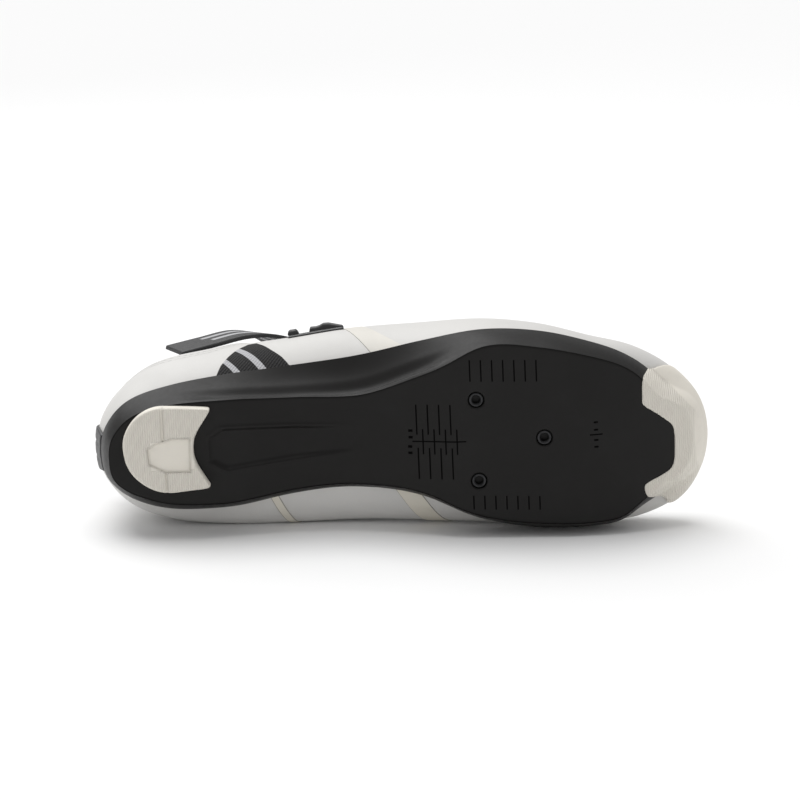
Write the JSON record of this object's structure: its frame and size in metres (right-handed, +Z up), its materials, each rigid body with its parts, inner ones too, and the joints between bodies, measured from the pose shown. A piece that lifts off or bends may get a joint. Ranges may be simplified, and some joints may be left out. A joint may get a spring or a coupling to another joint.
{
  "type": "road cycling shoe",
  "caption": "Low-cut right road cycling shoe lying on its inner side: stiff sole with threaded inserts, heel pad and toe bumper, smooth upper, instep strap and fastened buckle.",
  "frame": {"origin": "on the floor under the middle of the lying shoe's bounding box", "axes": "+X from heel to toe, +Z up, the sole faces -Y and the outer side of the shoe is up"},
  "size_m": [0.2788, 0.1034, 0.0926],
  "materials": {
    "upper_shell": "smooth white synthetic",
    "sole": "satin black moulding",
    "pad": "ribbed pale grey-cream rubber",
    "footbed": "dark fabric over foam",
    "mesh": "black open mesh",
    "band": "smooth cream synthetic",
    "strap": "black webbed synthetic",
    "fitting": "black moulding",
    "steel": "plain steel"
  },
  "bodies": {
    "root": {"upper": "upper_shell", "outsole": "sole", "toe_bumper": "pad", "heel_pad": "pad", "insole": "footbed", "tongue": "upper_shell", "heel_tab": "fitting", "side_mesh_panel": "mesh", "outer_band": "band", "inner_rear_band": "band", "inner_front_band": "band", "instep_strap": "strap", "cleat_nut_rear_outer": "steel", "cleat_nut_rear_inner": "steel", "cleat_nut_front": "steel", "buckle_base": "fitting", "buckle_stop": "fitting", "buckle_lever": "fitting"}
  },
  "joints": []
}
